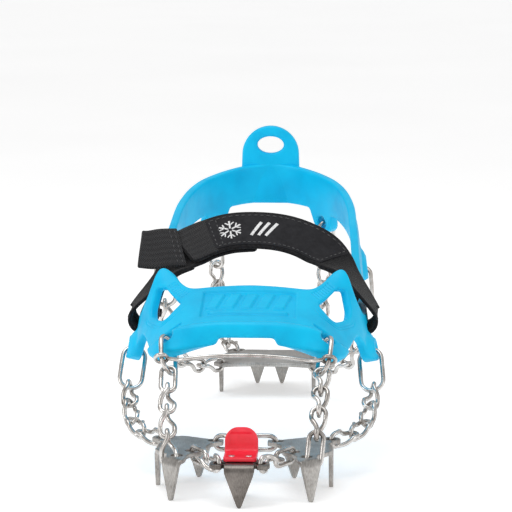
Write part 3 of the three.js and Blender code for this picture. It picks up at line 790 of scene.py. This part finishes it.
def weld(thing):
    """Joins the two ends of the band, which lie on each other."""
    bpy.context.view_layer.objects.active = thing
    modifier = thing.modifiers.new("weld", "WELD")
    modifier.merge_threshold = 0.00002
    bpy.ops.object.modifier_apply(modifier=modifier.name)


HEEL_TAB = {"foot": 96, "half": 15, "arch": 122, "grip": 127, "grip_half": 7, "grip_rise": 4.5}


def make_heel_tab(paint):
    tab = HEEL_TAB
    arc = np.linspace(0, math.pi, 24)
    arch = np.stack([tab["half"] * np.cos(arc), tab["arch"] + tab["half"] * np.sin(arc)], 1)
    outline = np.concatenate([[(-16, tab["foot"]), (16, tab["foot"])], arch])
    grip = oval(0, tab["grip"], tab["grip_half"], tab["grip_rise"], 28)
    back = STATION_POINTS[-1][1] + LIP / 2

    def place(u, h, w):
        return np.stack([-u, back - HARNESS - LIP + w, h], 1)

    def depth(u, h):
        rim = groove(edge_distance(np.stack([u, h], 1), [grip]) - 1.6, 0.7, 0.3)
        ridges = 0.5 * np.maximum.reduce([groove(h - z, 0.5, 0.3) for z in (108, 111, 114)])
        return HARNESS + LIP - 0.2 * (1 - rim) - ridges * (np.abs(u) < 10)

    shell = slab(outline, [grip], grid((-16, 96), (16, 138), 1.1), 1.2, depth, place)
    make_piece("harness_heel_tab", shell, paint, "harness", "harness")


# Chain and rings ----------------------------------------------------
LOOP_STEPS = 72
WELD_STEP, WELD_SWELL = 8.0, 0.07


def wire_frame(node, ring):
    """A closed wire loop's corners round its centre, the centre, its axis and each corner's place along
    it, from its CAD mesh.
    """
    vertices = [tuple(v.co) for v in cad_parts[node].data.vertices]
    corners = np.unique(np.round(vertices, 7), axis=0) / MM
    values, axes = np.linalg.eigh(np.cov((corners - corners.mean(0)).T))
    spans = [np.ptp(corners @ axis) for axis in axes.T]
    order = np.argsort(values)[::-1]
    along = axes[:, order[0]]
    if ring:
        wide = ring + 2 * WIRE
        along = axes[:, max(order[:2], key=lambda k: abs(spans[k] - wide))]
    centre = corners.mean(0)
    t = (corners - centre) @ along
    centre = centre + along * (t.max() + t.min()) / 2
    t = (corners - centre) @ along
    return corners - centre, centre, along, t


def wide_direction(corners, along):
    """The direction square to the axis in which these corners spread most."""
    flat = corners - np.outer(corners @ along, along)
    return np.linalg.eigh(flat.T @ flat)[1][:, -1]


def loop_path(length, width, twist, count):
    """A slotted loop's wire line, whose far half is turned by the twist."""
    r, flat = width / 2, (length - width) / 2
    half = math.pi * r + 2 * flat
    s = np.arange(count) / count * 2 * half
    far = s >= half
    s = np.where(far, s - half, s)
    a = np.maximum(0, s - 2 * flat) / r
    x = np.where(s > 2 * flat, r * np.cos(a), r)
    z = np.where(s > 2 * flat, flat + r * np.sin(a), s - flat)
    x, z = np.where(far, -x, x), np.where(far, -z, z)
    turn = twist * smoothstep(z, -flat, flat)
    return np.stack([x * np.cos(turn), x * np.sin(turn), z], 1)


def make_loop(node, paint, ring=None):
    corners, centre, along, t = wire_frame(node, ring)
    if ring:
        length, width = np.ptp(t) - 2 * WIRE, ring
    else:
        length, width = LINK_LENGTH, LINK_WIDTH
    flat = (length - width) / 2
    near = wide_direction(corners[t < -max(flat, 1)], along)
    middle = wide_direction(corners[np.abs(t) < 1.2], along)
    third = np.cross(along, near)
    angle = math.atan2(middle @ third, middle @ near)
    angle = (angle + math.pi / 2) % math.pi - math.pi / 2
    twist = 0.0 if ring or abs(angle) < 0.3 else math.copysign(math.pi / 2, angle)
    count = LOOP_STEPS
    path = loop_path(length, width, twist, count)
    path = centre + path[:, :1] * near + path[:, 1:2] * third + path[:, 2:] * along
    steps = np.arange(count)
    from_weld = np.minimum(steps, count - steps) - WELD_STEP
    radius = WIRE * (1 + WELD_SWELL * np.exp(-(from_weld**2) / 2.5))
    points, faces, turned = tube(path, radius, sides=14, closed=True)
    piece = mesh_object(f"{node}_wire", points * MM, faces, turned)
    finish_piece(piece, paint, node, "wire", node)


def make_chains(paint):
    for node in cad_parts:
        if node.startswith("ring_"):
            make_loop(node, paint, CORNER_RING_WIDTH if "corner" in node else RING_WIDTH)
        elif node.startswith("link_"):
            make_loop(node, paint)


TOE_WIRE = 0.9
EYE = 2.7
EYE_RISE = 3.8
TOE_BOW = [(0, -103, 58.4), (10, -103, 58.1), (20, -103.4, 57.4), (28, -102.5, 56.2)]


def make_toe_wire(paint):
    """The wire across the toe, with an eye round the front of each corner ring."""
    corners, centre, along, t = wire_frame("ring_corner_right", CORNER_RING_WIDTH)
    down = along * -np.sign(along[2])
    bottom = centre + down * (np.ptp(t) / 2 - WIRE)
    across = wide_direction(corners, along)
    across = across * -np.sign(across[1])
    eye_centre = bottom - down * EYE_RISE + across * CORNER_RING_WIDTH / 2 - (0, DRAWING_SHIFT, 0)
    half = [np.array(p, float) for p in TOE_BOW] + [eye_centre - (EYE, 0, 0)]
    line = [p * MIRROR for p in reversed(half[1:])] + half
    keys = lengths_along(line)
    shells = [tube(open_track(keys, line)(np.linspace(0, keys[-1], 70)), TOE_WIRE)]
    for side in (1, -1):
        axis = down * (side, 1, 1)
        first = unit(np.cross(axis, (0.0, 1.0, 0.0)))
        second = np.cross(axis, first)
        turn = full_turn(40)
        eye = np.outer(np.cos(turn), first) + np.outer(np.sin(turn), second)
        shells.append(tube(eye_centre * (side, 1, 1) + eye * EYE, TOE_WIRE, closed=True))
    make_piece("toe_wire_bow", joined_shells(shells), paint, "toe_wire", "wire", "toe_wire")


# Plates -------------------------------------------------------------
# In an outline a point is (x, y), and a spike is (x, y, outward x, outward y, width).
TOE_PLATE = [
    (0, -145, 0, -1, 13), (7.2, -142.4), (7.6, -145), (11.5, -144.6), (13, -141.5), (12.6, -136.6),
    (9, -135.2), (7.6, -132), (6.4, -123.7), (0, -121.2, 0, 1, 11),
]
SIDE_PLATE = [
    (16.6, -112.6), (18, -117.4), (21.6, -120.6), (23.8, -125), (24, -131.4),
    (30.3, -132.4, 0.74, -0.67, 11),
    (32.7, -125.4), (32.6, -122.6), (36.4, -117.6), (38.6, -113), (38.6, -110.7), (36.4, -110.5),
    (38.4, -103.5, 1, 0, 12.5), (36.4, -96.5), (38.6, -96.3), (38.6, -93), (42.2, -89), (41.3, -85.3),
    (36.6, -84), (31, -86), (28.5, -84.9), (21.2, -86.5, -0.48, 0.877, 12.5), (15.4, -91), (9.8, -91.4),
    (9.8, -96.6), (14.4, -99.6), (16.6, -104),
]
HEEL_PLATE = [
    (9, 96), (16.5, 94.8), (22.6, 92.8), (27.4, 97.6), (25.4, 104), (24.9, 105.4), (22.4, 105.6),
    (24.4, 112.5, 1, 0, 12.5), (22.4, 119.4), (24.6, 119.8), (21.8, 126), (22.4, 134.4), (19.6, 138.6),
    (13.4, 138.2), (13, 135.5), (6.5, 137.6, 0, 1, 11.5),
]
TOE_HOLES = [(8.5, -140)]
SIDE_HOLES = [(28, -125.8), (22.5, -115.5), (14.2, -94), (37.6, -88.7)]
HEEL_HOLES = [(21.9, 98.3), (16.7, 133.7)]
QUARTER = BEND * math.pi / 2
SPIKE_END = QUARTER + PLATE_MID - BEND


def flipped(outline):
    """The outline's mirror image, in the same turning direction."""
    turned = [(-p[0], p[1], *([-p[2], *p[3:]] if len(p) > 2 else [])) for p in outline]
    return turned[::-1]


def spike_corners(x, y, out_x, out_y, width):
    out = np.array([out_x, out_y])
    lateral = np.array([-out_y, out_x])
    start = np.array([x, y]) + out * BEND_START
    half = width / 2
    shoulder = QUARTER + 1.2
    side = [
        (half, 0), (half, QUARTER - 0.8), (half * 0.93, shoulder), (1.0, SPIKE_END - 0.7),
        (0.5, SPIKE_END),
    ]
    pattern = [(-b, a) for b, a in side] + side[::-1]
    return [tuple(start + lateral * b + out * a) for b, a in pattern]


def bend_down(spikes):
    """How a flat plate's points lie once its spikes are bent down."""

    def place(u, h, w):
        points = np.stack([u, h, SPIKE_HEIGHT + w], 1)
        for x, y, out_x, out_y, width in spikes:
            a = (u - x) * out_x + (h - y) * out_y - BEND_START
            b = -(u - x) * out_y + (h - y) * out_x
            mine = (a > 0) & (np.abs(b) < width / 2 + 0.05) & (a < SPIKE_END + 0.1)
            angle = np.minimum(a / BEND, math.pi / 2)
            radius = BEND + w - PLATE / 2
            reach = BEND_START + radius * np.sin(angle)
            points[mine, 0] = (x + out_x * reach - out_y * b)[mine]
            points[mine, 1] = (y + out_y * reach + out_x * b)[mine]
            drop = PLATE_MID - BEND + radius * np.cos(angle) - np.maximum(0, a - QUARTER)
            points[mine, 2] = drop[mine]
        return points

    return place


def make_plate(node, outline, holes, paint):
    spikes = [p for p in outline if len(p) > 2]
    corners = []
    for p in outline:
        corners += spike_corners(*p) if len(p) > 2 else [p]
    corners = soften(corners, 0.9)
    loops = [circle(x, y, CHAIN_HOLE) for x, y in holes]
    fill = grid(corners.min(0), corners.max(0), 0.8)
    shell = slab(corners, loops, fill, 0.35, constant(PLATE), bend_down(spikes), edge_step=0.8)
    make_piece(f"{node}_steel", shell, paint, node, "plates", node)


def make_plates():
    # The toe plate gets a darker copy of the same brushed plate steel, and the other plates get the
    # lighter copy.
    dark = plate_paint("darker_brushed_steel", (0.1, 0.088, 0.078), (0.27, 0.245, 0.225), 0.0)
    bright = plate_paint("brushed_steel", (0.22, 0.205, 0.19), (0.52, 0.5, 0.475), 0.5)
    toe = TOE_PLATE + flipped(TOE_PLATE[1:-1])
    make_plate("toe_plate", toe, TOE_HOLES + flipped(TOE_HOLES), dark)
    make_plate("forefoot_plate_right", SIDE_PLATE, SIDE_HOLES, bright)
    make_plate("forefoot_plate_left", flipped(SIDE_PLATE), flipped(SIDE_HOLES), bright)
    make_plate("heel_plate", HEEL_PLATE + flipped(HEEL_PLATE), HEEL_HOLES + flipped(HEEL_HOLES), bright)


STOP = {
    "half": 7.2, "thick": 1.8, "front": TOE_STOP_FRONT, "back": -124, "top": 31, "bend": 4.0, "cut": 3.6
}
RIVETS = (-3.6, 3.6)
RIVET_BACK = 4.2  # from the front of the toe stop
RIVET_HOLE = 1.0


def make_toe_stop(paint, steel):
    base = SPIKE_HEIGHT + PLATE + 0.3
    thick, bend = STOP["thick"], STOP["bend"]
    lying = STOP["back"] - bend - STOP["front"]
    arc = (bend - thick / 2) * math.pi / 2
    standing = STOP["top"] - base - bend
    total = lying + arc + standing

    def place(u, h, w):
        angle = np.clip((h - lying) / (bend - thick / 2), 0, math.pi / 2)
        radius = bend - w
        y = STOP["front"] + np.minimum(h, lying) + radius * np.sin(angle)
        z = base + bend - radius * np.cos(angle) + np.maximum(0, h - lying - arc)
        return np.stack([u, y, z], 1)

    half, cut = STOP["half"], STOP["cut"]
    corners = [
        (-half, 0), (half, 0), (half, total - cut), (half - cut, total), (cut - half, total),
        (-half, total - cut),
    ]
    holes = [circle(x, RIVET_BACK, RIVET_HOLE, 16) for x in RIVETS]
    fill = grid((-half, 0), (half, total), 0.7)

    def depth(u, h):
        recess = smoothstep(half - 2 - np.abs(u), 0, 0.5) * smoothstep(h - lying - 2.5, 0, 0.5)
        return thick - 0.35 * recess * smoothstep(total - 2.2 - h, 0, 0.5)

    shell = slab(soften(corners, 2.4), holes, fill, 0.45, depth, place, edge_step=0.7)
    make_piece("red_toe_stop", shell, paint, "toe_plate", "toe_stop", "toe_stop")
    rivets = [rivet(x, STOP["front"] + RIVET_BACK, base - 0.2, thick) for x in RIVETS]
    make_piece("toe_stop_rivets", joined_shells(rivets), steel, "toe_plate", "wire")


def rivet(x, y, foot, thick):
    """A shank with a domed head."""
    angles = np.linspace(0, math.pi / 2, 6)
    head, rise = 1.5, 0.4
    profile = [(0.01, 0), (0.9, 0), (0.9, thick + 0.1)]
    profile += [(head * math.cos(a) + 0.01, thick + 0.2 + rise * math.sin(a)) for a in angles]
    return lathe(profile, (x, y, foot))


def lathe(profile, origin, sides=20):
    turn = full_turn(sides)
    rings = [np.stack([r * np.cos(turn), r * np.sin(turn), np.full(sides, z)], 1) for r, z in profile]
    points = np.concatenate(rings) + origin
    faces = [tuple(range(sides))[::-1]]
    for i in range(len(profile) - 1):
        a, b = i * sides, (i + 1) * sides
        faces += [(a + j, a + (j + 1) % sides, b + (j + 1) % sides, b + j) for j in range(sides)]
    faces.append(tuple((len(profile) - 1) * sides + j for j in range(sides)))
    return points, faces, points[:, :2]


# Straps -------------------------------------------------------------
# Lines over the instep, from the crown down to the right side.
STRAP_LINE = [
    (0, -6, 101), (12, -6.6, 100), (22, -8, 97.3), (31, -10.5, 93), (38, -14, 88), (44, -17.5, 82.5),
    (48.5, -20.5, 77),
]
UPPER_END = [(-34.5, -12.2, 92.7), (-30, -10.2, 94.6), (-22, -8, 97.8), (-12, -6.6, 100.4)]
TAB_LINE = [(-56, -20.6, 94), (-49, -18.2, 93), (-42, -15.4, 93.7), (-34.7, -12.3, 93.4)]
CROWN_LEAN, BAR_LEAN = 0.85, 0.17

bar_centre = on_band(BAR[0], BAR[1], HARNESS / 2)[0]
bar_axis = unit(on_band(BAR[0] + 10, BAR[1], 0)[0] - on_band(BAR[0] - 10, BAR[1], 0)[0])
bar_up = unit(np.cross(band_frame(np.array([float(BAR[0])]))[2][0], bar_axis))
bar_out = -np.cross(bar_up, bar_axis)


def lean(x):
    share = smoothstep(bar_centre[0] - abs(x), 2, 22)
    return unit(np.array([0, 1, BAR_LEAN + (CROWN_LEAN - BAR_LEAN) * share]))


def directions(line):
    return unit(np.gradient(np.array(line, float), axis=0))


def square_wides(line, lean_at=lean):
    """The way across the strap at each point of its line."""
    found = []
    for p, d in zip(line, directions(line)):
        across = lean_at(p[0])
        found.append(unit(across - d * (across @ d)))
    return found


def lowered(line, by):
    rows = zip(line, directions(line), square_wides(line))
    return [np.array(p) - np.cross(d, w) * by for p, d, w in rows]


def round_the_bar():
    """Points of the sewn loop round the harness bar, from outside, underneath, and up inside."""
    radius = BAR_LOOP + STRAP / 2
    turns = np.radians([30, 5, -25, -55, -92, -115, -140, -165, -184])
    return [bar_centre + radius * (bar_out * math.cos(a) + bar_up * math.sin(a)) for a in turns]


def ribbon(line, wides):
    """A place(u, h, w) along a line, and the length at each of the line's points."""
    keys = lengths_along(line)
    point, wide = open_track(keys, line), open_track(keys, wides)

    def place(u, h, w):
        s = np.clip(u, 0, keys[-1])
        direction = unit(point(np.minimum(s + 0.05, keys[-1])) - point(np.maximum(s - 0.05, 0)))
        across = wide(s)
        across = unit(across - direction * (across * direction).sum(1, keepdims=True))
        normal = np.cross(direction, across)
        return point(s) + across * h[:, None] + normal * (w - STRAP / 2)[:, None]

    return place, keys


def strap_ribbon(line):
    """The webbing over the instep, round the bar, and sewn under itself."""
    loop = round_the_bar()
    end = lowered(line, STRAP + 0.15)
    blends = ((-1, 0.65), (-2, 0.8), (-3, 0.8))
    tail = [end[k] * share + end[k - 1] * (1 - share) for k, share in blends]
    wides = square_wides(line)
    tail_wides = [wides[-1], wides[-2], wides[-3]]
    whole = [*line[:-1], *loop, *tail]
    return ribbon(whole, [*wides[:-1], *[bar_axis] * len(loop), *tail_wides])


def stitches(place, path, lift, long=1.7, gap=0.9, thick=0.24):
    """Dashes of thread along a flat path of (u, h) points."""
    path = np.array(path, float)
    shells = []
    for a, b in zip(path[:-1], path[1:]):
        reach = np.linalg.norm(b - a)
        count = max(1, int(reach / (long + gap)))
        for k in range(count):
            s = (k + 0.5) * reach / count + np.linspace(-0.5, 0.5, 7) * long
            flat = a + np.outer(s / reach, b - a)
            arch = lift + 0.12 * np.cos(np.linspace(-1.4, 1.4, 7))
            thin = thick * np.sqrt(1.02 - np.linspace(-1, 1, 7) ** 2)
            shells.append(tube(place(flat[:, 0], flat[:, 1], arch), thin, sides=6))
    return joined_shells(shells)


def bar_outline(a, b, width):
    a, b = np.array(a, float), np.array(b, float)
    d = unit(b - a)
    n = np.array([-d[1], d[0]]) * width / 2
    return np.array([a - n, b - n, b + n, a + n])


def make_mark(place, centre, lift, paint):
    """A printed snow star with three bars beside it."""
    outlines = []
    for k in range(6):
        angle = math.radians(60 * k + 30)
        d = np.array([math.cos(angle), math.sin(angle)])
        n = np.array([-d[1], d[0]])
        outlines.append(bar_outline(centre + d * 0.9, centre + d * 5.6, 0.8))
        for side in (1, -1):
            foot = centre + d * 3.3 + n * side * 0.5
            outlines.append(bar_outline(foot, centre + d * 4.7 + n * side * 1.9, 0.6))
    for k in range(3):
        foot = centre + (10 + 3.6 * k, -4.2)
        outlines.append(bar_outline(foot, foot + (4.4, 8.4), 1.5))
    shells = []
    for outline in outlines:
        fill = grid(outline.min(0), outline.max(0), 0.6)
        under, over = constant(lift), constant(lift + 0.14)
        shells.append(slab(outline, [], fill, 0.05, over, place, base=under, edge_step=0.5))
    make_piece("strap_mark", joined_shells(shells), paint, "strap_upper", "strap_face")


def mirrored_shell(shell):
    points, faces, flat = shell
    return points * MIRROR, [tuple(f)[::-1] for f in faces], flat


def padded_edge(length, half):
    """Depth of a strap that swells a little beside its edges."""

    def depth(u, h):
        edge = np.minimum(half - np.abs(h), np.minimum(u, length - u))
        return STRAP + 0.22 * groove(edge - 1.3, 0.8, 0.7)

    return depth


def strap_shell(line, corner):
    """A strap's webbing, its place(u, h, w), and the length at each point of its line."""
    place, keys = strap_ribbon(line)
    length, half = keys[-1], STRAP_HALF
    fill = grid((0, -half), (length, half), 1.2)
    depth = padded_edge(length, half)
    return slab(strip(0, length, half, corner), [], fill, STRAP_RIM, depth, place), place, keys


def make_straps():
    felt, face, thread, weave = felt_paint(), face_paint(), thread_paint(), herringbone_paint()
    shell, place, keys = strap_shell(UPPER_END + STRAP_LINE, 3.0)
    make_piece("strap_upper_felt", shell, felt, "strap_upper", "strap_face", "strap_upper")
    make_patch(place, keys, face, thread)
    make_end_weave(place, keys[2] + 2, weave)
    shell = strap_shell(lowered(STRAP_LINE, STRAP + LAYER_GAP), 2.0)[0]
    make_piece("strap_lower_felt", mirrored_shell(shell), felt, "harness", "webbing", "strap_lower")
    make_pull_tab(thread, weave)


PATCH_INSET = 1.7
PATCH_RISE = 0.55


def make_patch(place, keys, face, thread):
    """The smooth face sewn on the upper strap, with its stitching and its mark."""
    end = keys[len(UPPER_END) + 3] + 7
    start, half = keys[2] + 0.8, STRAP_HALF - PATCH_INSET
    outline = soften([(start, -half), (end, -half), (end + 2.5, half), (start, half)], 1.6)
    fill = grid((start, -half), (end + 3, half), 1.1)
    under, over = constant(STRAP - 0.3), constant(STRAP + PATCH_RISE)
    shell = slab(outline, [], fill, 0.3, over, place, base=under)
    make_piece("strap_patch", shell, face, "strap_upper", "strap_face")
    inner = half - 1.3
    first, second = start + 1.4, start + 4.4
    border = [(first, -inner), (end - 1.2, -inner), (end + 1.0, inner), (first, inner), (first, -inner)]
    lift = STRAP + PATCH_RISE
    shells = [stitches(place, path, lift) for path in (border, [(second, inner), (second, -inner)])]
    make_piece("strap_stitches", joined_shells(shells), thread, "strap_upper", "strap_face")
    crown = keys[len(UPPER_END)]
    make_mark(place, np.array([crown - 12.0, 0.0]), lift - 0.04, print_paint())


def make_end_weave(place, end, weave):
    """The herringbone webbing sewn on the strap's free end, up to and under its patch."""
    start, half = 0.7, STRAP_HALF - 0.5
    fill = grid((start, -half), (end, half), 1.1)
    under, over = constant(STRAP - 0.3), constant(STRAP + 0.35)
    shell = slab(strip(start, end, half, 0.8), [], fill, 0.25, over, place, base=under)
    make_piece("strap_end_weave", shell, weave, "strap_upper", "webbing")


def make_pull_tab(thread, weave):
    place, keys = ribbon(TAB_LINE, square_wides(TAB_LINE, lambda x: lean(0)))
    length, half = keys[-1], STRAP_HALF
    outline = soften([(0.3, -half), (length, -half), (length, half), (4.2, half)], 0.9)
    fill = grid((0, -half), (length, half), 1.2)
    shell = slab(outline, [], fill, 0.5, constant(STRAP), place)
    make_piece("pull_tab_weave", shell, weave, "strap_pull_tab", "webbing", "strap_pull_tab")
    lines = [[(length - k, -half + 1.2), (length - k, half - 1.2)] for k in (1.8, 4.2)]
    shell = joined_shells([stitches(place, path, STRAP) for path in lines])
    make_piece("pull_tab_stitches", shell, thread, "strap_pull_tab", "webbing")


make_camera()
make_studio()
polished = wire_paint()
make_harness(elastomer_paint())
make_chains(polished)
make_toe_wire(polished)
make_plates()
make_toe_stop(toe_stop_paint(), polished)
make_straps()
